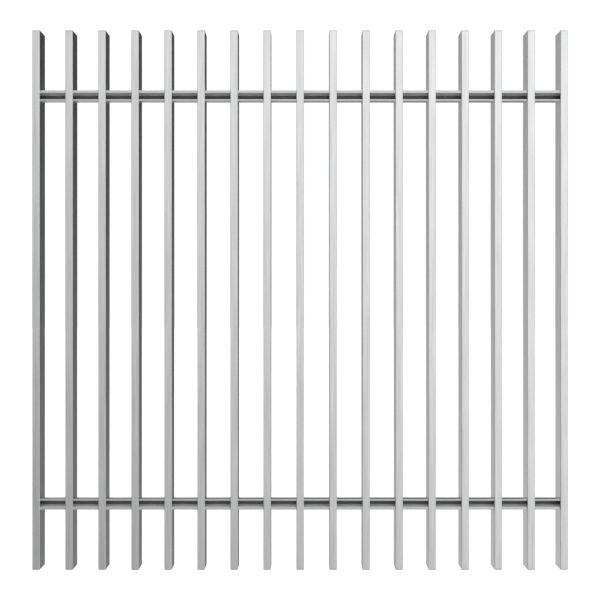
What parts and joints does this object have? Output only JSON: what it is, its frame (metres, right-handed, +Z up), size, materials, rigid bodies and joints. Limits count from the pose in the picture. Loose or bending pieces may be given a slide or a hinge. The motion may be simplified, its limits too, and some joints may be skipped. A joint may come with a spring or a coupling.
{
  "type": "vertical-bar barrier panel",
  "caption": "Flat metal barrier panel of upright box-section bars with capped ends, carried on an upper and a lower grooved rail.",
  "frame": {"origin": "ground level under the middle of the panel, half way through the bars' depth", "axes": "+X along the panel to its right seen from the front, +Y from the front to the back, +Z up along the bars"},
  "size_m": [1.785, 0.05, 1.8],
  "materials": {
    "bar_metal": "satin, lightly brushed along the bar",
    "cap_metal": "satin, to match the bars",
    "rail_metal": "extruded, satin, drawn along the rail"
  },
  "bodies": {
    "root": {"bar_01": "bar_metal", "bar_02": "bar_metal", "bar_03": "bar_metal", "bar_04": "bar_metal", "bar_05": "bar_metal", "bar_06": "bar_metal", "bar_07": "bar_metal", "bar_08": "bar_metal", "bar_09": "bar_metal", "bar_10": "bar_metal", "bar_11": "bar_metal", "bar_12": "bar_metal", "bar_13": "bar_metal", "bar_14": "bar_metal", "bar_15": "bar_metal", "bar_16": "bar_metal", "bar_17": "bar_metal", "cap_top_01": "cap_metal", "cap_top_02": "cap_metal", "cap_top_03": "cap_metal", "cap_top_04": "cap_metal", "cap_top_05": "cap_metal", "cap_top_06": "cap_metal", "cap_top_07": "cap_metal", "cap_top_08": "cap_metal", "cap_top_09": "cap_metal", "cap_top_10": "cap_metal", "cap_top_11": "cap_metal", "cap_top_12": "cap_metal", "cap_top_13": "cap_metal", "cap_top_14": "cap_metal", "cap_top_15": "cap_metal", "cap_top_16": "cap_metal", "cap_top_17": "cap_metal", "cap_bottom_01": "cap_metal", "cap_bottom_02": "cap_metal", "cap_bottom_03": "cap_metal", "cap_bottom_04": "cap_metal", "cap_bottom_05": "cap_metal", "cap_bottom_06": "cap_metal", "cap_bottom_07": "cap_metal", "cap_bottom_08": "cap_metal", "cap_bottom_09": "cap_metal", "cap_bottom_10": "cap_metal", "cap_bottom_11": "cap_metal", "cap_bottom_12": "cap_metal", "cap_bottom_13": "cap_metal", "cap_bottom_14": "cap_metal", "cap_bottom_15": "cap_metal", "cap_bottom_16": "cap_metal", "cap_bottom_17": "cap_metal", "rail_top": "rail_metal", "rail_bottom": "rail_metal"}
  },
  "joints": []
}
